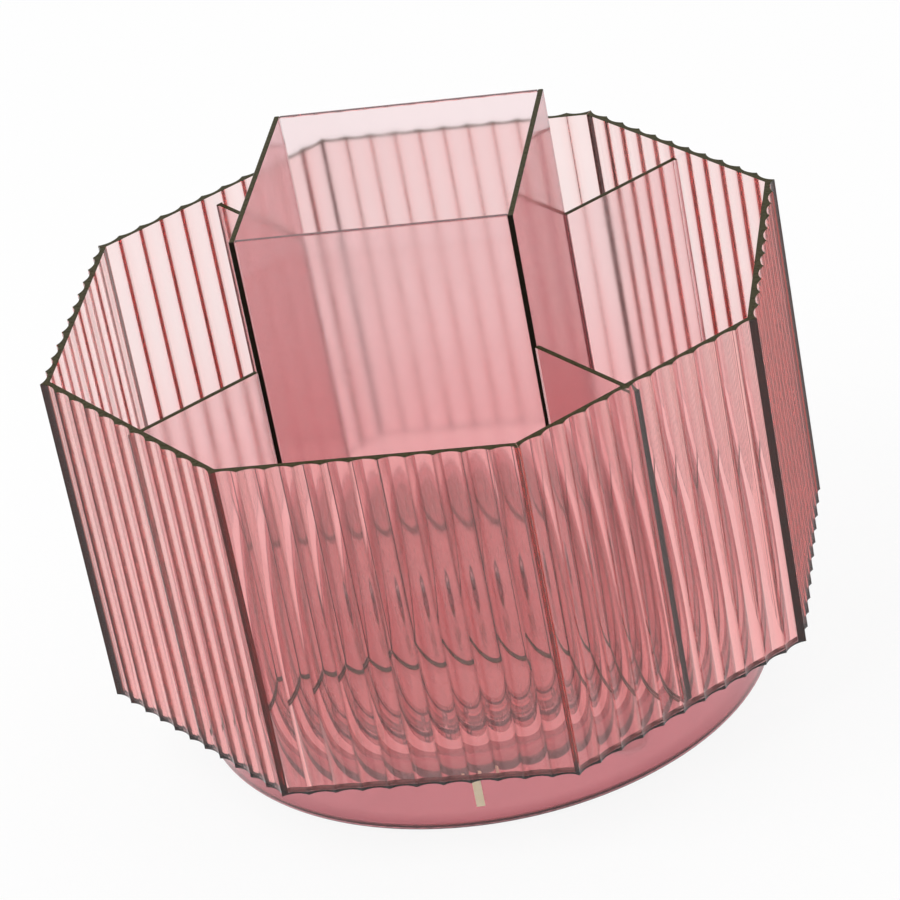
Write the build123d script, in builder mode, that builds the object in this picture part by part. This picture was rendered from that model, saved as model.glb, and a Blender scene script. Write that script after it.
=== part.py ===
from build123d import *
import os
from math import radians, sin, sqrt, tan

# Rotating pen holder: an octagonal carousel of fluted acrylic sheets, turning on a round ball-race base.
# Millimetres, +Z up, front towards -Y. The origin is on the axis, at the underside of the feet.

# Fluted outer walls
wall_count = 8
flutes_per_wall = 11
flute_pitch = 5.0
flute_depth = 0.8
web_thickness = 1.0
wall_height = 68.4

# Floor, centre box and dividers
floor_thickness = 1.0
box_side = 52.0
box_height = 92.7
box_sheet = 1.0
divider_sheet = 1.0
divider_drop = 2.2

# Turntable bearing
race_radius = 42.0
ball_count = 12
ball_radius = 2.0
groove_depth = 0.8
plate_thickness = 2.0
plate_margin = 5.0
cage_half_width = 3.6

# Moulded base
drum_height = 16.0
drum_wall = 2.2
dish_margin = 6.8
dish_floor_thickness = 2.0
drum_top_radius = 0.8
drum_foot_radius = 0.6
cover_thickness = 0.6
rebate_width = 0.8

# Feet
foot_radius = 4.0
foot_proud = 1.0
foot_inset = 14.0
foot_edge_radius = 0.4

# Pivot
screw_radius = 2.0
head_radius = 3.5
head_height = 2.2
head_crown = 1.4
recess_arm = 3.8
recess_width = 0.9
recess_depth = 1.2
bush_wall = 1.9
bush_flange_width = 2.0
bush_flange_thickness = 0.8
washer_width = 2.6
washer_thickness = 0.5
insert_wall = 0.9
insert_length = 6.0
boss_wall = 3.2
boss_margin = 1.0

# Clearances
glue_gap = 0.05
press_gap = 0.02
thread_gap = 0.05
bush_clearance = 0.05
washer_clearance = 0.1
ball_clearance = 0.1
cage_clearance = 0.4
running_gap = 1.0
cover_clearance = 0.1

# Cuts reach this far past the faces that they open
overrun = 1.0

# Octagon, measured over the ridges between flutes
wall_turn = 360 / wall_count
half_turn = wall_turn / 2
corner_turn = 2 * wall_turn
wall_width = flutes_per_wall * flute_pitch
ridge_apothem = wall_width / (2 * tan(radians(half_turn)))
inner_apothem = ridge_apothem - flute_depth - web_thickness

# Levels of the carousel
deck_z = foot_proud + drum_height + running_gap
floor_top_z = deck_z + floor_thickness
rim_z = deck_z + wall_height
sheet_foot_z = floor_top_z + glue_gap
plate_top_z = deck_z - glue_gap
plate_foot_z = plate_top_z - plate_thickness

# Levels and radii of the bearing: balls roll between grooves in the plate and in the drum's dish
groove_radius = ball_radius + ball_clearance
ball_z = plate_foot_z + groove_depth - groove_radius
dish_floor_z = ball_z - groove_radius + groove_depth
cage_thickness = plate_foot_z - dish_floor_z - 2 * cage_clearance
plate_radius = race_radius + plate_margin
dish_radius = plate_radius + dish_margin

# Levels and radii of the base
drum_radius = dish_radius + drum_wall
drum_foot_z = foot_proud
drum_top_z = drum_foot_z + drum_height
cover_top_z = drum_foot_z + cover_thickness
rebate_radius = dish_radius + rebate_width
foot_circle = drum_radius - foot_inset

# Pivot stack: screw head on the washer, washer over the bush flange, screw down into the insert
bush_bore = screw_radius + bush_clearance
bush_radius = bush_bore + bush_wall
flange_radius = bush_radius + bush_flange_width
flange_foot_z = sheet_foot_z
washer_foot_z = flange_foot_z + bush_flange_thickness + washer_clearance
head_foot_z = washer_foot_z + washer_thickness
insert_bore = screw_radius + thread_gap
insert_radius = insert_bore + insert_wall
insert_foot_z = dish_floor_z - insert_length
boss_hole = insert_radius + press_gap
boss_radius = boss_hole + boss_wall
boss_foot_z = insert_foot_z - boss_margin

# Names, counted round from the front towards the right
side_names = ["front", "front_right", "right", "back_right", "back", "back_left", "left", "front_left"]
corner_names = side_names[1::2]

os.makedirs("parts", exist_ok=True)


def turned(level, angle):
    """A level plane, turned about the axis so that its -Y looks out at the angle given."""
    return Plane.XY.offset(level).rotated((0, 0, angle))


def keep(builder, name):
    """Labels a finished piece and writes it."""
    builder.part.label = name
    export_step(builder.part, f"parts/{name}.step")


# Fluted walls: hollow flutes between sharp ridges outside, flat inside, mitred where two ridges meet
ridge_y = -ridge_apothem
inside_y = -inner_apothem
strip_half = wall_width / 2
mitre_tip_y = -glue_gap / (2 * sin(radians(half_turn)))
mitre_base_y = -(ridge_apothem + overrun)
mitre_half = (mitre_tip_y - mitre_base_y) * tan(radians(half_turn))

for index, side in enumerate(side_names):
    with BuildPart() as wall:
        with BuildSketch(turned(deck_z, index * wall_turn)):
            with BuildLine():
                Polyline(
                    (strip_half, ridge_y),
                    (strip_half, inside_y),
                    (-strip_half, inside_y),
                    (-strip_half, ridge_y),
                )
                for flute in range(flutes_per_wall):
                    flute_start = -strip_half + flute * flute_pitch
                    SagittaArc((flute_start, ridge_y), (flute_start + flute_pitch, ridge_y), flute_depth)
            make_face()
            Polygon(
                (0, mitre_tip_y),
                (-mitre_half, mitre_base_y),
                (mitre_half, mitre_base_y),
                align=None,
                mode=Mode.INTERSECT,
            )
        extrude(amount=wall_height)
    keep(wall, f"wall_{side}")

# Floor: an octagonal sheet inside the walls, cut out square for the centre box
box_cutout = box_side + 2 * glue_gap
with BuildPart() as floor_plate:
    with BuildSketch(Plane.XY.offset(deck_z)):
        RegularPolygon(inner_apothem - glue_gap, wall_count, major_radius=False, rotation=half_turn)
        Rectangle(box_cutout, box_cutout, mode=Mode.SUBTRACT)
    extrude(amount=floor_thickness)
keep(floor_plate, "floor_plate")

# Centre box: reaches down through the floor, left and right sheets lap over the ends of front and back
lapped_length = box_side - 2 * (box_sheet + glue_gap)
with BuildPart() as box_floor:
    with BuildSketch(Plane.XY.offset(deck_z)):
        Rectangle(lapped_length, lapped_length)
        Circle(bush_radius + press_gap, mode=Mode.SUBTRACT)
    extrude(amount=floor_thickness)
keep(box_floor, "box_floor")

sheet_offset = (box_side - box_sheet) / 2
box_sheets = {
    "front": (0, -sheet_offset, lapped_length, box_sheet),
    "right": (sheet_offset, 0, box_sheet, box_side),
    "back": (0, sheet_offset, lapped_length, box_sheet),
    "left": (-sheet_offset, 0, box_sheet, box_side),
}
for side, (centre_x, centre_y, size_x, size_y) in box_sheets.items():
    with BuildPart() as box_wall:
        with BuildSketch(Plane.XY.offset(deck_z)):
            with Locations((centre_x, centre_y)):
                Rectangle(size_x, size_y)
        extrude(amount=box_height)
    keep(box_wall, f"box_{side}")

# Dividers: from the box's corners to the middles of the diagonal walls, lower than the rim
divider_start = box_side / sqrt(2) + glue_gap
divider_end = inner_apothem - glue_gap
divider_height = rim_z - divider_drop - sheet_foot_z
for index, corner in enumerate(corner_names):
    with BuildPart() as divider:
        with BuildSketch(turned(sheet_foot_z, wall_turn + index * corner_turn)):
            with Locations((0, -(divider_start + divider_end) / 2)):
                Rectangle(divider_sheet, divider_end - divider_start)
        extrude(amount=divider_height)
    keep(divider, f"divider_{corner}")

# Turntable plate: a disc glued under the floor and the box, with the upper half of the ball race
with BuildPart() as turntable_plate:
    with BuildSketch(Plane.XY.offset(plate_foot_z)):
        Circle(plate_radius)
        Circle(bush_radius + press_gap, mode=Mode.SUBTRACT)
    extrude(amount=plate_thickness)
    with BuildSketch(Plane.XZ):
        with Locations((race_radius, ball_z)):
            Circle(groove_radius)
    revolve(axis=Axis.Z, mode=Mode.SUBTRACT)
keep(turntable_plate, "turntable_plate")

# Ball cage: a flat ring with one pocket for each ball
with BuildPart() as ball_cage:
    with BuildSketch(Plane.XY.offset(dish_floor_z + cage_clearance)):
        Circle(race_radius + cage_half_width)
        Circle(race_radius - cage_half_width, mode=Mode.SUBTRACT)
        with PolarLocations(race_radius, ball_count):
            Circle(groove_radius, mode=Mode.SUBTRACT)
    extrude(amount=cage_thickness)
keep(ball_cage, "ball_cage")

with BuildPart() as bearing_balls:
    with Locations((0, 0, ball_z)):
        with PolarLocations(race_radius, ball_count):
            Sphere(ball_radius)
keep(bearing_balls, "bearing_balls")

# Bush: flanged on the box's floor, its sleeve down through floor and plate
with BuildPart() as floor_bush:
    with BuildSketch(Plane.XZ):
        with BuildLine():
            Polyline(
                (bush_bore, plate_foot_z),
                (bush_radius, plate_foot_z),
                (bush_radius, flange_foot_z),
                (flange_radius, flange_foot_z),
                (flange_radius, flange_foot_z + bush_flange_thickness),
                (bush_bore, flange_foot_z + bush_flange_thickness),
                close=True,
            )
        make_face()
    revolve(axis=Axis.Z)
keep(floor_bush, "floor_bush")

# Base drum: one turned section of outer wall, bearing dish and centre boss, open below for the cover
with BuildPart() as base_drum:
    with BuildSketch(Plane.XZ):
        with BuildLine():
            Polyline(
                (rebate_radius, drum_foot_z),
                (drum_radius, drum_foot_z),
                (drum_radius, drum_top_z),
                (dish_radius, drum_top_z),
                (dish_radius, dish_floor_z),
                (boss_hole, dish_floor_z),
                (boss_hole, boss_foot_z),
                (boss_radius, boss_foot_z),
                (boss_radius, dish_floor_z - dish_floor_thickness),
                (dish_radius, dish_floor_z - dish_floor_thickness),
                (dish_radius, cover_top_z),
                (rebate_radius, cover_top_z),
                close=True,
            )
        make_face()
    revolve(axis=Axis.Z)
    outer_rims = base_drum.edges().filter_by(GeomType.CIRCLE).group_by(lambda edge: edge.radius)[-1]
    rims_by_level = outer_rims.sort_by(Axis.Z)
    fillet(rims_by_level[0], drum_foot_radius)
    fillet(rims_by_level[-1], drum_top_radius)
    with BuildSketch(Plane.XZ):
        with Locations((race_radius, ball_z)):
            Circle(groove_radius)
    revolve(axis=Axis.Z, mode=Mode.SUBTRACT)
keep(base_drum, "base_drum")

# Base cover: a thin disc seated in the drum's rebate
with BuildPart() as base_cover:
    with BuildSketch(Plane.XY.offset(drum_foot_z)):
        Circle(rebate_radius - cover_clearance)
    extrude(amount=cover_thickness - glue_gap)
keep(base_cover, "base_cover")

# Feet: round pads stuck under the cover
for index, corner in enumerate(corner_names):
    with BuildPart() as foot:
        with BuildSketch(turned(0, wall_turn + index * corner_turn)):
            with Locations((0, -foot_circle)):
                Circle(foot_radius)
        extrude(amount=foot_proud - glue_gap)
        fillet(foot.faces().sort_by(Axis.Z)[0].edges(), foot_edge_radius)
    keep(foot, f"foot_{corner}")

# Threaded insert: a brass sleeve in the drum's boss
with BuildPart() as threaded_insert:
    with BuildSketch(Plane.XY.offset(insert_foot_z)):
        Circle(insert_radius)
        Circle(insert_bore, mode=Mode.SUBTRACT)
    extrude(amount=insert_length)
keep(threaded_insert, "threaded_insert")

# Slip washer and pan-head pivot screw
with BuildPart() as slip_washer:
    with BuildSketch(Plane.XY.offset(washer_foot_z)):
        Circle(bush_bore + washer_width)
        Circle(bush_bore, mode=Mode.SUBTRACT)
    extrude(amount=washer_thickness)
keep(slip_washer, "slip_washer")

with BuildPart() as pivot_screw:
    with BuildSketch(Plane.XY.offset(insert_foot_z)):
        Circle(screw_radius)
    extrude(amount=head_foot_z - insert_foot_z)
    with BuildSketch(Plane.XY.offset(head_foot_z)):
        Circle(head_radius)
    extrude(amount=head_height)
    fillet(pivot_screw.faces().sort_by(Axis.Z)[-1].edges(), head_crown)
    with BuildSketch(Plane.XY.offset(head_foot_z + head_height - recess_depth)):
        Rectangle(recess_arm, recess_width)
        Rectangle(recess_width, recess_arm)
    extrude(amount=recess_depth + overrun, mode=Mode.SUBTRACT)
keep(pivot_screw, "pivot_screw")
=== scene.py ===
import math

import bmesh
import bpy
from mathutils import Matrix, Vector


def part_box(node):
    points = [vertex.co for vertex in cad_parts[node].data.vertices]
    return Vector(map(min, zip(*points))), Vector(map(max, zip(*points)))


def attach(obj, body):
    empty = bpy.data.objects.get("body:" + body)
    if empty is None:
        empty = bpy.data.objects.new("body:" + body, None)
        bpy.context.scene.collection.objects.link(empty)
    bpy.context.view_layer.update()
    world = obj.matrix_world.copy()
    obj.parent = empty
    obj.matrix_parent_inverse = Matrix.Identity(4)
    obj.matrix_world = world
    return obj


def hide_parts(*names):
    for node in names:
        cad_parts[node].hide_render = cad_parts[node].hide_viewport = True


# Rotating pen holder: a fluted, rose-tinted acrylic carousel on a clear ball-race base.
# Metres, +Z up, front towards -Y, as in the CAD frame.

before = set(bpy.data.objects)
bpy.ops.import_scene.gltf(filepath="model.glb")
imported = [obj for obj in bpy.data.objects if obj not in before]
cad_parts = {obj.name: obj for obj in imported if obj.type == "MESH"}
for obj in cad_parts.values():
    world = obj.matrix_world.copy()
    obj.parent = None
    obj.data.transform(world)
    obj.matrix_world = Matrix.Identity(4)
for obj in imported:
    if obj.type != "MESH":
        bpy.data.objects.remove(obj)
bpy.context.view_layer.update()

MM = 0.001
UP, FRONT, RIGHT = Vector((0, 0, 1)), Vector((0, -1, 0)), Vector((1, 0, 0))
SIDES = ["front", "front_right", "right", "back_right", "back", "back_left", "left", "front_left"]
CORNERS = SIDES[1::2]

# Octagon of fluted sheet: hollow flutes between sharp ridges, with a ridge at each corner
WALL_COUNT = 8
FLUTES_PER_WALL = 11
FLUTE_PITCH = 5.0 * MM
FLUTE_DEPTH = 0.8 * MM
FLUTE_STEPS = 20
WEB_THICKNESS = 1.0 * MM
WALL_TURN = 2 * math.pi / WALL_COUNT
HALF_TURN = WALL_TURN / 2
WALL_WIDTH = FLUTES_PER_WALL * FLUTE_PITCH
RIDGE_APOTHEM = WALL_WIDTH / (2 * math.tan(HALF_TURN))
INNER_APOTHEM = RIDGE_APOTHEM - WEB_THICKNESS - FLUTE_DEPTH
WALL_FOOT, WALL_TOP = (corner.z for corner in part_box("wall_front"))

# Share of the painted ridge shade given to the octagon's corner ridges, where a ridge between two flutes
# gets 1
CORNER_RIDGE_SHADE = 0.35

# Centre box and dividers of plain sheet, whose edges are just broken
PLAIN_SHEET = 1.0 * MM
BOX_SIDE = 52.0 * MM
EDGE_BREAK = 0.12 * MM

# Glued joints: the film between two faces, the beads at the feet of the sheets (width and height), and
# the flare of cement at a divider's end (width on each side and depth)
GLUE_GAP = 0.05 * MM
FOOT_BEAD = Vector((1.2, 0.35)) * MM
END_FLARE = Vector((0.25, 0.5)) * MM

# Share of a bead's or mark's least thickness that its rounding takes
ROUNDING = 1 / 3

# Painted cream glint on the base, made as a thin strip: width and thickness, heights of its ends, and turn
# from the front
GLINT_STRIP = Vector((1.6, 0.15)) * MM
GLINT_STRIP_SPAN = (5.6 * MM, 13.0 * MM)
GLINT_STRIP_TURN = math.radians(6.2)

# Radii between which the mouldings go from the blush of their web to the full tint of the outer wall
WEB_RADIUS = 50.0 * MM
OUTER_WALL_RADIUS = 53.5 * MM

# Strength of the dye in sheets and in mouldings, and the share of painted shade that stands for the light
# caught in a sheet and lost each time it meets a face
SHEET_DYE = 190.0
MOULDING_DYE = 40.0
SHADE_AT_FACE = 0.14

# Meshing: points this close are one, edges bent more than this are sharp, and a face looks a given way
# when the cosine of the angle between them is above FACING
MERGE = 0.001 * MM
SHARP = math.radians(20)
FACING = 0.5

# A Mix node's colour sockets share their names with its number sockets, so they go by their places
COLOUR_A, COLOUR_B, MIXED = 6, 7, 2

# A Wave node of scale 1 repeats each tenth of pi
WAVE_PERIOD = math.pi / 10

# Bounces that light needs to come through all the sheets, and for gloss
SHEET_BOUNCES = 32
GLOSS_BOUNCES = 8

# Studio: brightness of the room in front of the object next to 1 behind it, the floor's reach, its share
# of plain white as the camera sees it, and the radii between which its painted rose shadow fades
ROOM_IN_FRONT = 0.45
FLOOR_REACH = 4.0
FLOOR_WHITE = 0.9
ROSE_SHADOW_FULL = 70 * MM
ROSE_SHADOW_END = 190 * MM

# Soft key lamp in front on the left: diameter, watts and place
KEY_DIAMETER = 1.2
KEY_POWER = 8.0
KEY_PLACE = Vector((-0.7, -0.6, 1.3))

# Camera at the photograph's angle, as fitted to the octagon's corners. Lens and sensor are in millimetres
CAMERA_TURN, CAMERA_RISE, CAMERA_ROLL = (math.radians(angle) for angle in (12.57, 28.89, -11.14))
CAMERA_PLACE = Vector((0.152980, -0.682387, 0.435375))
CAMERA_LENS = 167.79
CAMERA_SENSOR = 36.0
CAMERA_NEAREST, CAMERA_FARTHEST = 0.05, 20.0


def linear(hex_colour, alpha=1.0):
    """An sRGB hex colour as linear RGBA."""
    channels = [int(hex_colour[i:i + 2], 16) / 255 for i in (1, 3, 5)]
    return [c / 12.92 if c <= 0.04045 else ((c + 0.055) / 1.055) ** 2.4 for c in channels] + [alpha]


def node(tree, kind, sockets=None, **settings):
    """Adds a node: settings go on the node itself, sockets on its inputs, each a value or a link."""
    made = tree.nodes.new("ShaderNode" + kind)
    for key, value in settings.items():
        setattr(made, key, value)
    for key, value in (sockets or {}).items():
        if isinstance(value, bpy.types.NodeSocket):
            tree.links.new(value, made.inputs[key])
        else:
            made.inputs[key].default_value = value
    return made


def blank_material(name):
    """A material without nodes, and its node tree."""
    material = bpy.data.materials.new(name)
    material.use_nodes = True
    material.node_tree.nodes.clear()
    return material, material.node_tree


def rose_acrylic(name, dye_colour, grazing, haziest):
    """Acrylic sheet dyed rose right through, with sawn edges.

    The polished faces are clear and glossy and the dye shows by depth: one sheet is a pale blush, five are
    rose red, and a sheet seen along its length is nearly black. The sawn edges are dull and painted a dark
    olive shade, the sharp ridges between flutes are painted as dark red lines of shade, and a sheet is
    painted its grazing shade when seen nearly edge on. Haziest is the roughness where handling has dulled
    its faces most.
    """
    material, tree = blank_material(name)
    place = node(tree, "TexCoord").outputs["Object"]
    inside = node(tree, "NewGeometry").outputs["Backfacing"]
    slant = node(tree, "LayerWeight", {"Blend": 0.5}).outputs["Facing"]
    cut = node(tree, "Attribute", attribute_name="cut_edge").outputs["Fac"]
    ridge_shade_line = node(tree, "Attribute", attribute_name="ridge").outputs["Fac"]
    shaded_sheet_end = node(tree, "Attribute", attribute_name="shaded_sheet_end").outputs["Fac"]

    # Painted shade: dark red lines are painted along the ridges, darkest from inside the sheet, standing
    # for the light that the ridges turn back when it meets them aslant
    ridge_shade_outside = node(tree, "MapRange", {
        "Value": slant, "From Min": 0.55, "From Max": 0.8, "To Min": 0.5, "To Max": 0.0})
    ridge_shade_within = node(tree, "MapRange", {
        "Value": slant, "From Min": 0.2, "From Max": 0.4, "To Min": 0.45, "To Max": 1.0})
    ridge_shade_depth = node(tree, "Mix", {
        "Factor": inside, "A": ridge_shade_outside.outputs["Result"], "B": ridge_shade_within.outputs["Result"]})
    ridge = node(tree, "Math", {
        0: ridge_shade_line, 1: ridge_shade_depth.outputs["Result"]}, operation="MULTIPLY").outputs[0]

    # Painted shade: sheet ends are painted dark from outside, for the light that enters there, runs on along
    # the sheet and is lost
    outside = node(tree, "Math", {0: 1.0, 1: inside}, operation="SUBTRACT").outputs[0]
    painted_end_shade = node(tree, "Math", {0: shaded_sheet_end, 1: outside}, operation="MULTIPLY").outputs[0]
    dull = node(tree, "Math", {0: cut, 1: painted_end_shade}, operation="MAXIMUM").outputs[0]

    # Painted shade: faces met from inside beyond 42 degrees are painted dark red and made less clear, for
    # the light caught in the sheet, which fades at each turn
    beyond = node(tree, "MapRange", {
        "Value": slant, "From Min": 0.25, "From Max": 0.32, "To Max": SHADE_AT_FACE})
    caught_light_shade = node(tree, "Math", {
        0: inside, 1: beyond.outputs["Result"]}, operation="MULTIPLY").outputs[0]
    opaque = node(tree, "Math", {0: dull, 1: caught_light_shade}, operation="MAXIMUM").outputs[0]
    clear = node(tree, "MapRange", {"Value": opaque, "To Min": 1.0, "To Max": 0.0})
    gloss = node(tree, "MapRange", {"Value": dull, "To Min": 0.5, "To Max": 0.05})

    # Slow ripple of the extruded face, faint handling haze, and saw marks on the cut edges, which are
    # coarser than the real ones so that they show
    ripple = node(tree, "TexNoise", {"Vector": place, "Scale": 1 / (14.3 * MM), "Detail": 1.0})
    haze = node(tree, "TexNoise", {
        "Vector": place, "Scale": 1 / (9.1 * MM), "Detail": 3.0, "Roughness": 0.6})
    marks = node(tree, "TexNoise", {"Vector": place, "Scale": 1 / (0.714 * MM), "Detail": 2.0})
    face_bump = node(tree, "Bump", {
        "Strength": 0.25, "Distance": 0.02 * MM, "Height": ripple.outputs["Fac"]})
    face_rough = node(tree, "MapRange", {
        "Value": haze.outputs["Fac"], "From Min": 0.35, "From Max": 0.75,
        "To Min": 0.7 * haziest, "To Max": haziest})
    edge_rough = node(tree, "MapRange", {
        "Value": marks.outputs["Fac"], "From Min": 0.3, "From Max": 0.7, "To Min": 0.2, "To Max": 0.4})
    rough = node(tree, "Mix", {
        "Factor": dull, "A": face_rough.outputs["Result"], "B": edge_rough.outputs["Result"]})

    # Painted shade: a sheet is painted its grazing colour when seen nearly edge on, a darker rose on the
    # plain sheets
    edge_on = node(tree, "MapRange", {"Value": slant, "From Min": 0.45, "From Max": 0.85})
    face_colour = node(tree, "Mix", {
        COLOUR_A: linear("#FFFFFF"), COLOUR_B: linear(grazing),
        "Factor": edge_on.outputs["Result"]}, data_type="RGBA")
    caught_light_shaded = node(tree, "Mix", {
        COLOUR_A: face_colour.outputs[MIXED], COLOUR_B: linear("#8A2018"),
        "Factor": caught_light_shade}, data_type="RGBA")
    # Painted shade: the dark red of the ridge lines
    ridge_shaded = node(tree, "Mix", {
        COLOUR_A: caught_light_shaded.outputs[MIXED], COLOUR_B: linear("#2A0606"),
        "Factor": ridge}, data_type="RGBA")
    # Painted shade: sawn edges painted dark olive, darker from inside, for light lost in the sheet; saw
    # marks mottle it
    edge_shade_colour = node(tree, "Mix", {
        COLOUR_A: linear("#221F10"), COLOUR_B: linear("#4C472A"),
        "Factor": marks.outputs["Fac"]}, data_type="RGBA")
    edge_shade_within = node(tree, "Mix", {
        COLOUR_A: edge_shade_colour.outputs[MIXED], COLOUR_B: linear("#0C0906"),
        "Factor": inside}, data_type="RGBA")
    edged = node(tree, "Mix", {
        COLOUR_A: ridge_shaded.outputs[MIXED], COLOUR_B: edge_shade_within.outputs[MIXED],
        "Factor": cut}, data_type="RGBA")
    # Painted shade: dark brown on the sheet ends seen from outside
    colour = node(tree, "Mix", {
        COLOUR_A: edged.outputs[MIXED], COLOUR_B: linear("#1C1810"),
        "Factor": painted_end_shade}, data_type="RGBA")
    sheet = node(tree, "BsdfPrincipled", {
        "Base Color": colour.outputs[MIXED],
        "Roughness": rough.outputs["Result"],
        "IOR": 1.49,
        "Specular IOR Level": gloss.outputs["Result"],
        "Transmission Weight": clear.outputs["Result"],
        "Normal": face_bump.outputs["Normal"],
    })
    dye = node(tree, "VolumeAbsorption", {"Color": linear(dye_colour), "Density": SHEET_DYE})
    node(tree, "OutputMaterial", {"Surface": sheet.outputs["BSDF"], "Volume": dye.outputs["Volume"]})
    return material


def shaded_mitre_cement():
    """Cement film in the mitred corners: clear rose seen aslant, painted a bubbled brown shade seen
    squarely.

    The brown is painted shade for the light that meets the film squarely, runs on along the next wall and is
    lost. The film holds no dye of its own, so that the dye on both sides of it counts as one.
    """
    material, tree = blank_material("cemented_mitre_shaded")
    place = node(tree, "TexCoord").outputs["Object"]
    slant = node(tree, "LayerWeight", {"Blend": 0.5}).outputs["Facing"]
    # Painted shade: the film turns brown where it is seen squarely
    lost = node(tree, "MapRange", {
        "Value": slant, "From Min": 0.28, "From Max": 0.42, "To Min": 0.9, "To Max": 0.0})
    bubbles = node(tree, "TexNoise", {"Vector": place, "Scale": 1 / (2.0 * MM), "Detail": 3.0})
    colour = node(tree, "Mix", {
        COLOUR_A: linear("#3A1A10"), COLOUR_B: linear("#5A2A1E"),
        "Factor": bubbles.outputs["Fac"]}, data_type="RGBA")
    film = node(tree, "BsdfPrincipled", {
        "Base Color": colour.outputs[MIXED], "Roughness": 0.35, "Specular IOR Level": 0.15})
    behind = node(tree, "BsdfTransparent", {"Color": linear("#E8B4AC")})
    surface = node(tree, "MixShader", {
        0: lost.outputs["Result"], 1: behind.outputs[0], 2: film.outputs[0]})
    node(tree, "OutputMaterial", {"Surface": surface.outputs[0]})
    return material


def rose_moulding(name, tint, haziest):
    """Clear moulded styrene with slow flow waves: pale in the web, with a deeper tint in the outer wall,
    partly its own and partly painted shade.
    """
    material, tree = blank_material(name)
    place = node(tree, "TexCoord").outputs["Object"]
    across = node(tree, "VectorMath", {0: place, 1: (1, 1, 0)}, operation="MULTIPLY")
    reach = node(tree, "VectorMath", {0: across.outputs["Vector"]}, operation="LENGTH")
    wall = node(tree, "MapRange", {
        "Value": reach.outputs["Value"], "From Min": WEB_RADIUS, "From Max": OUTER_WALL_RADIUS})
    # The outer wall's full tint is partly painted shade, deepened for the shade of the carousel above the
    # drum
    colour = node(tree, "Mix", {
        COLOUR_A: linear("#F8E4E5"), COLOUR_B: linear(tint),
        "Factor": wall.outputs["Result"]}, data_type="RGBA")
    flow = node(tree, "TexNoise", {
        "Vector": place, "Scale": 1 / (22.2 * MM), "Detail": 2.0, "Distortion": 0.4})
    haze = node(tree, "TexNoise", {"Vector": place, "Scale": 1 / (6.25 * MM), "Detail": 3.0})
    rough = node(tree, "MapRange", {
        "Value": haze.outputs["Fac"], "From Min": 0.35, "From Max": 0.75,
        "To Min": 0.6 * haziest, "To Max": haziest})
    bump = node(tree, "Bump", {"Strength": 0.3, "Distance": 0.03 * MM, "Height": flow.outputs["Fac"]})
    body = node(tree, "BsdfPrincipled", {
        "Base Color": colour.outputs[MIXED],
        "Roughness": rough.outputs["Result"],
        "IOR": 1.5,
        "Transmission Weight": 1.0,
        "Normal": bump.outputs["Normal"],
    })
    dye = node(tree, "VolumeAbsorption", {"Color": linear("#E4303F"), "Density": MOULDING_DYE})
    node(tree, "OutputMaterial", {"Surface": body.outputs["BSDF"], "Volume": dye.outputs["Volume"]})
    return material


def dried_cement():
    """Solvent cement squeezed out of the joints: brown olive, glossy, clouded with tiny bubbles."""
    material, tree = blank_material("dried_solvent_cement")
    place = node(tree, "TexCoord").outputs["Object"]
    cloud = node(tree, "TexNoise", {"Vector": place, "Scale": 1 / (1.11 * MM), "Detail": 3.0})
    colour = node(tree, "Mix", {
        COLOUR_A: linear("#4A3D2C"), COLOUR_B: linear("#75634A"),
        "Factor": cloud.outputs["Fac"]}, data_type="RGBA")
    bump = node(tree, "Bump", {"Strength": 0.3, "Distance": 0.05 * MM, "Height": cloud.outputs["Fac"]})
    body = node(tree, "BsdfPrincipled", {
        "Base Color": colour.outputs[MIXED], "Roughness": 0.3, "Normal": bump.outputs["Normal"]})
    node(tree, "OutputMaterial", {"Surface": body.outputs["BSDF"]})
    return material


def painted_cream_glint():
    """Painted glint: a pale cream satin finish with a fine grain, standing for the cream glint on the drum.
    """
    material, tree = blank_material("painted_cream_glint_finish")
    place = node(tree, "TexCoord").outputs["Object"]
    grain = node(tree, "TexNoise", {"Vector": place, "Scale": 1 / (2.0 * MM), "Detail": 3.0})
    colour = node(tree, "Mix", {
        COLOUR_A: linear("#F4DDB4"), COLOUR_B: linear("#FFF2DA"),
        "Factor": grain.outputs["Fac"]}, data_type="RGBA")
    body = node(tree, "BsdfPrincipled", {"Base Color": colour.outputs[MIXED], "Roughness": 0.4})
    node(tree, "OutputMaterial", {"Surface": body.outputs["BSDF"]})
    return material


def clear_polycarbonate():
    """Colourless moulded polycarbonate: glass clear, with a soft sheen where it rubs."""
    material, tree = blank_material("clear_polycarbonate")
    place = node(tree, "TexCoord").outputs["Object"]
    rub = node(tree, "TexNoise", {"Vector": place, "Scale": 1 / (2.38 * MM), "Detail": 3.0})
    rough = node(tree, "MapRange", {
        "Value": rub.outputs["Fac"], "From Min": 0.35, "From Max": 0.7, "To Min": 0.04, "To Max": 0.16})
    body = node(tree, "BsdfPrincipled", {
        "Base Color": linear("#FFF6F4"), "Roughness": rough.outputs["Result"],
        "IOR": 1.58, "Transmission Weight": 1.0})
    node(tree, "OutputMaterial", {"Surface": body.outputs["BSDF"]})
    return material


def bearing_steel():
    """Polished bearing balls: bright metal with a faint mottle from the grease left on them."""
    material, tree = blank_material("polished_bearing_steel")
    place = node(tree, "TexCoord").outputs["Object"]
    grease = node(tree, "TexNoise", {"Vector": place, "Scale": 1 / (1.11 * MM), "Detail": 2.0})
    rough = node(tree, "MapRange", {
        "Value": grease.outputs["Fac"], "From Min": 0.35, "From Max": 0.7,
        "To Min": 0.08, "To Max": 0.24})
    body = node(tree, "BsdfPrincipled", {
        "Base Color": linear("#CFCFD1"), "Metallic": 1.0, "Roughness": rough.outputs["Result"]})
    node(tree, "OutputMaterial", {"Surface": body.outputs["BSDF"]})
    return material


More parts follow.
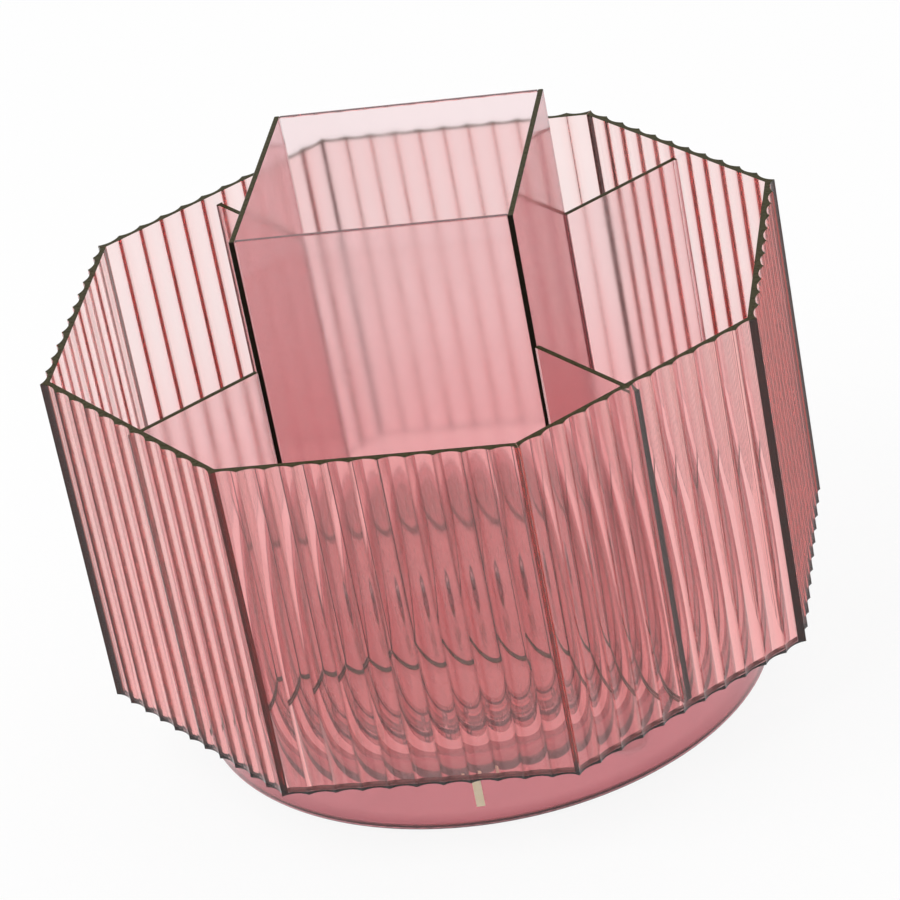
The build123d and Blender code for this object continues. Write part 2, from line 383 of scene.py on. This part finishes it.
def turned_brass():
    """Turned brass: warm yellow, with fine rings across the axis from the lathe tool."""
    material, tree = blank_material("turned_brass")
    place = node(tree, "TexCoord").outputs["Object"]
    rings = node(tree, "TexWave", {
        "Vector": place, "Scale": WAVE_PERIOD / (0.449 * MM), "Distortion": 1.5, "Detail": 2.0},
        bands_direction="Z")
    rough = node(tree, "MapRange", {"Value": rings.outputs["Fac"], "To Min": 0.22, "To Max": 0.38})
    bump = node(tree, "Bump", {"Strength": 0.2, "Distance": 0.01 * MM, "Height": rings.outputs["Fac"]})
    body = node(tree, "BsdfPrincipled", {
        "Base Color": linear("#C9A25A"), "Metallic": 1.0, "Roughness": rough.outputs["Result"],
        "Normal": bump.outputs["Normal"]})
    node(tree, "OutputMaterial", {"Surface": body.outputs["BSDF"]})
    return material


def clear_silicone():
    """Soft clear silicone pads: milky, with a satin skin that dust sits on."""
    material, tree = blank_material("clear_silicone")
    place = node(tree, "TexCoord").outputs["Object"]
    dust = node(tree, "TexNoise", {"Vector": place, "Scale": 1 / (1.54 * MM), "Detail": 4.0})
    rough = node(tree, "MapRange", {
        "Value": dust.outputs["Fac"], "From Min": 0.35, "From Max": 0.7, "To Min": 0.3, "To Max": 0.5})
    body = node(tree, "BsdfPrincipled", {
        "Base Color": linear("#FBEFEC"), "Roughness": rough.outputs["Result"],
        "IOR": 1.41, "Transmission Weight": 0.9})
    node(tree, "OutputMaterial", {"Surface": body.outputs["BSDF"]})
    return material


def only(geometry, kind):
    """The parts of one kind, such as vertices, from what a mesh operator gives back."""
    return [part for part in geometry if isinstance(part, kind)]


def finish_piece(bm, name, material, node_names=(), body="carousel", slot="rose_acrylic"):
    """Makes the bmesh an object that rides on a body and stands for the CAD nodes named."""
    mesh = bpy.data.meshes.new(name)
    bm.to_mesh(mesh)
    bm.free()
    mesh.materials.append(material)
    piece = bpy.data.objects.new(name, mesh)
    bpy.context.scene.collection.objects.link(piece)
    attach(piece, body)
    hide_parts(*node_names)
    return piece


def mark_faces(bm, mark, *ways):
    """Writes 1 under the mark's name on the faces that look one of the ways given, and 0 on the others."""
    bm.normal_update()
    layer = bm.faces.layers.float.new(mark)
    for face in bm.faces:
        face[layer] = float(any(face.normal.dot(way) > FACING for way in ways))


def cement_mitres(bm):
    """Gives the second material to the mitred ends of the walls, whose planes all pass close by the axis."""
    for face in bm.faces:
        upright = abs(face.normal.z) < FACING
        from_axis = abs(face.normal.dot(face.calc_center_median()))
        face.material_index = int(upright and from_axis < WEB_THICKNESS)


def mark_ridge_shade(bm):
    """Writes the mask of the painted ridge shade: 1 along the upright ridges between flutes, half as much on
    the next row of points, 0 beyond.

    The eight corner ridges get a smaller share of painted shade, because the mitres already show there.
    """
    layer = bm.verts.layers.float.new("ridge")
    corner_reach = RIDGE_APOTHEM / math.cos(HALF_TURN) - FLUTE_DEPTH
    next_row = 2 * FLUTE_PITCH / FLUTE_STEPS
    inner_faces = {
        face for face in bm.faces if face.normal.dot(face.calc_center_median()) < -WEB_THICKNESS}
    ridges = {
        end for edge in bm.edges for end in edge.verts
        if abs(edge.verts[0].co.z - edge.verts[1].co.z) > MERGE and not edge.smooth and edge.is_convex
        and inner_faces.isdisjoint(edge.link_faces)}
    for vert in ridges:
        vert[layer] = CORNER_RIDGE_SHADE if vert.co.xy.length > corner_reach else 1.0
        for edge in vert.link_edges:
            if edge.calc_length() < next_row:
                neighbour = edge.other_vert(vert)
                neighbour[layer] = max(neighbour[layer], vert[layer] / 2)


def fluted_octagon(material, mitre_material):
    """The eight walls in one mesh: a wall's section from a spun flute, mitred, turned round and drawn up."""
    bm = bmesh.new()
    half_pitch = FLUTE_PITCH / 2
    flute_radius = (half_pitch ** 2 + FLUTE_DEPTH ** 2) / (2 * FLUTE_DEPTH)
    flute_sweep = 2 * math.asin(half_pitch / flute_radius)
    flute_centre = Vector((0, -(RIDGE_APOTHEM - FLUTE_DEPTH + flute_radius), WALL_FOOT))
    first_flute = Vector(((FLUTE_PITCH - WALL_WIDTH) / 2, 0, 0))

    ridge = bmesh.ops.create_vert(bm, co=(-half_pitch, -RIDGE_APOTHEM, WALL_FOOT))["vert"]
    bmesh.ops.spin(
        bm, geom=ridge, cent=flute_centre, axis=(0, 0, -1), angle=flute_sweep, steps=FLUTE_STEPS)
    bmesh.ops.translate(bm, verts=bm.verts, vec=first_flute)
    flute = bm.verts[:] + bm.edges[:]
    for count in range(1, FLUTES_PER_WALL):
        copy = bmesh.ops.duplicate(bm, geom=flute)["geom"]
        bmesh.ops.translate(bm, verts=only(copy, bmesh.types.BMVert), vec=(count * FLUTE_PITCH, 0, 0))
    bmesh.ops.remove_doubles(bm, verts=bm.verts, dist=MERGE)

    # The flutes' line drawn back and flattened makes the inside, and two cuts make the mitres
    inside = bmesh.ops.extrude_edge_only(bm, edges=bm.edges)["geom"]
    bmesh.ops.scale(
        bm, verts=only(inside, bmesh.types.BMVert), vec=(1, 0, 1),
        space=Matrix.Translation((0, INNER_APOTHEM, 0)))
    for hand in (-1, 1):
        mitre_normal = Vector((hand * math.cos(HALF_TURN), math.sin(HALF_TURN), 0))
        bmesh.ops.bisect_plane(
            bm, geom=bm.verts[:] + bm.edges[:] + bm.faces[:], dist=MERGE,
            plane_co=-mitre_normal * GLUE_GAP / 2, plane_no=mitre_normal, clear_outer=True)

    wall = bm.verts[:] + bm.edges[:] + bm.faces[:]
    for count in range(1, WALL_COUNT):
        copy = bmesh.ops.duplicate(bm, geom=wall)["geom"]
        bmesh.ops.rotate(
            bm, verts=only(copy, bmesh.types.BMVert), cent=(0, 0, 0),
            matrix=Matrix.Rotation(count * WALL_TURN, 3, "Z"))
    bmesh.ops.remove_doubles(bm, verts=bm.verts, dist=MERGE)
    top = bmesh.ops.extrude_face_region(bm, geom=bm.faces[:])["geom"]
    bmesh.ops.translate(bm, verts=only(top, bmesh.types.BMVert), vec=(0, 0, WALL_TOP - WALL_FOOT))
    bmesh.ops.recalc_face_normals(bm, faces=bm.faces)

    for face in bm.faces:
        face.smooth = True
    for edge in bm.edges:
        edge.smooth = edge.calc_face_angle(0.0) < SHARP
    mark_faces(bm, "cut_edge", UP, -UP)
    cement_mitres(bm)
    mark_ridge_shade(bm)
    octagon = finish_piece(bm, "fluted_octagon", material, ["wall_" + side for side in SIDES])
    octagon.data.materials.append(mitre_material)
    return octagon


def block(low, high):
    """A bmesh block between two corners."""
    bm = bmesh.new()
    bmesh.ops.create_cube(bm, size=1.0)
    bmesh.ops.scale(bm, verts=bm.verts, vec=high - low)
    bmesh.ops.translate(bm, verts=bm.verts, vec=(low + high) / 2)
    return bm


def plain_sheet(name, node_name, low, high, turn, material, sawn=True, flare=None):
    """A flat sheet between two corners, its edges just broken, then turned about the axis.

    Its top is sawn and its ends are sawn and painted dark from outside as shade, or else they are polished.
    A flare, given as its width and depth, spreads the sheet's front end where cement fills the corners.
    """
    bm = block(low, high)
    bmesh.ops.bevel(
        bm, geom=bm.edges[:], offset=EDGE_BREAK, affect="EDGES", segments=1, profile=0.5, material=-1)
    if flare:
        thickness = high.x - low.x
        flare_start = low.y + flare.y
        bmesh.ops.bisect_plane(
            bm, geom=bm.verts[:] + bm.edges[:] + bm.faces[:], dist=MERGE,
            plane_co=(0, flare_start, 0), plane_no=(0, 1, 0))
        bmesh.ops.scale(
            bm, vec=((thickness + 2 * flare.x) / thickness, 1, 1),
            verts=[vert for vert in bm.verts if vert.co.y < flare_start - MERGE])
    if sawn:
        mark_faces(bm, "cut_edge", UP)
        mark_faces(bm, "shaded_sheet_end", *([FRONT] if flare else [RIGHT, -RIGHT]))
    bmesh.ops.rotate(bm, verts=bm.verts, cent=(0, 0, 0), matrix=Matrix.Rotation(turn, 3, "Z"))
    return finish_piece(bm, name, material, [node_name])


def rounded_block(name, low, high, turn, material, **rides):
    """A well rounded block between two corners, turned about the axis: cement beads and the painted glint
    strip.
    """
    bm = block(low, high)
    bmesh.ops.bevel(
        bm, geom=bm.edges[:], offset=min(high - low) * ROUNDING, affect="EDGES", segments=3, profile=0.5,
        material=-1)
    for face in bm.faces:
        face.smooth = True
    bmesh.ops.rotate(bm, verts=bm.verts, cent=(0, 0, 0), matrix=Matrix.Rotation(turn, 3, "Z"))
    return finish_piece(bm, name, material, **rides)


def white_sweep():
    """World: white wherever it is seen, while the light it sheds on the object is dimmer from the front."""
    world = bpy.data.worlds.new("studio")
    world.use_nodes = True
    tree = world.node_tree
    tree.nodes.clear()
    rays = node(tree, "LightPath")
    seen = node(tree, "Math", {
        0: rays.outputs["Is Camera Ray"], 1: rays.outputs["Is Transmission Ray"]}, operation="MAXIMUM")
    heading = node(tree, "SeparateXYZ", {0: node(tree, "TexCoord").outputs["Generated"]})
    room = node(tree, "MapRange", {
        "Value": heading.outputs["Y"], "From Min": -1.0, "From Max": 0.6,
        "To Min": ROOM_IN_FRONT, "To Max": 1.0}, interpolation_type="SMOOTHSTEP")
    glow = node(tree, "Background", {"Color": linear("#FFFFFF"), "Strength": room.outputs["Result"]})
    backdrop = node(tree, "Background", {"Color": linear("#FFFFFF"), "Strength": 1.0})
    blend = node(tree, "MixShader", {0: seen.outputs[0], 1: glow.outputs[0], 2: backdrop.outputs[0]})
    node(tree, "OutputWorld", {"Surface": blend.outputs[0]})
    return world


def white_paper():
    """Studio paper: nearly its own white to the eye, so that only a faint shadow shows on it.

    Near the object, as seen through the dyed sheets, it is painted a rose blush that stands for their
    coloured shadow.
    """
    material, tree = blank_material("studio_floor")
    rays = node(tree, "LightPath")
    paper = node(tree, "BsdfDiffuse", {"Color": linear("#F7F7F7")})
    away = node(tree, "VectorMath", {0: node(tree, "TexCoord").outputs["Object"]}, operation="LENGTH")
    near = node(tree, "MapRange", {
        "Value": away.outputs["Value"], "From Min": ROSE_SHADOW_FULL, "From Max": ROSE_SHADOW_END,
        "To Min": 1.0, "To Max": 0.0}, interpolation_type="SMOOTHSTEP")
    # Painted shadow: rose tint on the floor near the object, for rays that come through the sheets
    blush = node(tree, "Math", {
        0: near.outputs["Result"], 1: rays.outputs["Is Transmission Ray"]}, operation="MULTIPLY")
    tint = node(tree, "Mix", {
        COLOUR_A: linear("#FFFFFF"), COLOUR_B: linear("#FFDADC"),
        "Factor": blush.outputs[0]}, data_type="RGBA")
    white = node(tree, "Emission", {"Color": tint.outputs[MIXED], "Strength": 1.0})
    through = node(tree, "Math", {
        0: rays.outputs["Is Transmission Ray"], 1: rays.outputs["Is Glossy Ray"]}, operation="MAXIMUM")
    share = node(tree, "Math", {
        0: rays.outputs["Is Camera Ray"], 1: FLOOR_WHITE, 2: through.outputs[0]}, operation="MULTIPLY_ADD")
    blend = node(tree, "MixShader", {0: share.outputs[0], 1: paper.outputs[0], 2: white.outputs[0]})
    node(tree, "OutputMaterial", {"Surface": blend.outputs[0]})
    return material


fluted_acrylic = rose_acrylic("rose_acrylic_fluted", "#F05028", "#FFFFFF", 0.04)
acrylic = rose_acrylic("rose_acrylic_plain", "#E22C58", "#D47C84", 0.11)
moulding = rose_moulding("rose_styrene_moulding", "#D6AEB4", 0.2)
race_moulding = rose_moulding("pale_styrene_race", "#FBF0F0", 0.3)
cement = dried_cement()

fluted_octagon(fluted_acrylic, shaded_mitre_cement())

# Centre box: the left and right sheets lap over the ends of the front and back ones and show sawn ends
floor_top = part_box("floor_plate")[1].z
box_foot, box_top = (corner.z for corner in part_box("box_front"))
for index, side in enumerate(SIDES[0::2]):
    side_turn = index * 2 * WALL_TURN
    lapped = side in ("front", "back")
    half_width = BOX_SIDE / 2 - (PLAIN_SHEET + GLUE_GAP if lapped else 0.0)
    plain_sheet(
        f"box_sheet_{side}", f"box_{side}",
        Vector((-half_width, -BOX_SIDE / 2, box_foot)),
        Vector((half_width, -BOX_SIDE / 2 + PLAIN_SHEET, box_top)),
        side_turn, acrylic, sawn=not lapped)
    rounded_block(
        f"box_foot_bead_{side}",
        Vector((-BOX_SIDE / 2, -BOX_SIDE / 2 - GLUE_GAP - FOOT_BEAD.x, floor_top + GLUE_GAP)),
        Vector((BOX_SIDE / 2, -BOX_SIDE / 2 - GLUE_GAP, floor_top + FOOT_BEAD.y)),
        side_turn, cement)

# The dividers stand along the diagonals: each is made as the one at the front and turned to its corner
divider_foot, divider_top = (corner.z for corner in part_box("divider_front_right"))
divider_start = BOX_SIDE / math.sqrt(2) + GLUE_GAP
divider_end = INNER_APOTHEM - GLUE_GAP
for index, corner in enumerate(CORNERS):
    corner_turn = WALL_TURN + index * 2 * WALL_TURN
    plain_sheet(
        f"divider_sheet_{corner}", f"divider_{corner}",
        Vector((-PLAIN_SHEET / 2, -divider_end, divider_foot)),
        Vector((PLAIN_SHEET / 2, -divider_start, divider_top)),
        corner_turn, acrylic, flare=END_FLARE)
    for hand, label in ((-1, "left"), (1, "right")):
        face = hand * (PLAIN_SHEET / 2 + GLUE_GAP)
        foot_span = sorted((face, face + hand * FOOT_BEAD.x / 2))
        rounded_block(
            f"divider_foot_bead_{corner}_{label}",
            Vector((foot_span[0], -divider_end + END_FLARE.y + GLUE_GAP, floor_top + GLUE_GAP)),
            Vector((foot_span[1], -divider_start - FOOT_BEAD.x, floor_top + FOOT_BEAD.y)),
            corner_turn, cement)

# Painted glint: a pale cream strip, upright on the drum's front
drum_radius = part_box("base_drum")[1].x
rounded_block(
    "painted_glint_strip",
    Vector((-GLINT_STRIP.x / 2, -drum_radius - GLINT_STRIP.y, GLINT_STRIP_SPAN[0])),
    Vector((GLINT_STRIP.x / 2, -drum_radius - GLUE_GAP / 2, GLINT_STRIP_SPAN[1])),
    GLINT_STRIP_TURN, painted_cream_glint(), body="base", slot="rose_moulding")

# Pieces whose CAD shape is already the finished one
finishes = {
    fluted_acrylic: ["floor_plate", "box_floor"],
    moulding: ["base_drum", "base_cover"],
    race_moulding: ["turntable_plate", "ball_cage", "floor_bush", "slip_washer"],
    clear_polycarbonate(): ["pivot_screw"],
    bearing_steel(): ["bearing_balls"],
    turned_brass(): ["threaded_insert"],
    clear_silicone(): ["foot_" + corner for corner in CORNERS],
}
for material, names in finishes.items():
    for name in names:
        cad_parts[name].material_slots[0].material = material

scene = bpy.context.scene
scene.view_settings.view_transform = "Standard"
scene.cycles.max_bounces = SHEET_BOUNCES
scene.cycles.transmission_bounces = SHEET_BOUNCES
scene.cycles.glossy_bounces = GLOSS_BOUNCES
scene.world = white_sweep()

bm = bmesh.new()
bmesh.ops.create_grid(bm, x_segments=1, y_segments=1, size=FLOOR_REACH)
floor_mesh = bpy.data.meshes.new("studio_floor")
bm.to_mesh(floor_mesh)
bm.free()
floor_mesh.materials.append(white_paper())
studio_floor = bpy.data.objects.new("studio_floor", floor_mesh)
scene.collection.objects.link(studio_floor)

key = bpy.data.lights.new("key", "AREA")
key.shape = "DISK"
key.size = KEY_DIAMETER
key.energy = KEY_POWER
key_lamp = bpy.data.objects.new("key", key)
key_lamp.location = KEY_PLACE
key_lamp.rotation_euler = (-KEY_PLACE).to_track_quat("-Z", "Y").to_euler()
scene.collection.objects.link(key_lamp)

camera = bpy.data.objects.new("camera", bpy.data.cameras.new("camera"))
camera.data.sensor_width = CAMERA_SENSOR
camera.data.lens = CAMERA_LENS
camera.data.clip_start = CAMERA_NEAREST
camera.data.clip_end = CAMERA_FARTHEST
turned = Matrix.Rotation(CAMERA_TURN, 4, "Z")
raised = Matrix.Rotation(math.pi / 2 - CAMERA_RISE, 4, "X")
rolled = Matrix.Rotation(CAMERA_ROLL, 4, "Z")
camera.matrix_world = Matrix.Translation(CAMERA_PLACE) @ turned @ raised @ rolled
scene.collection.objects.link(camera)
scene.camera = camera
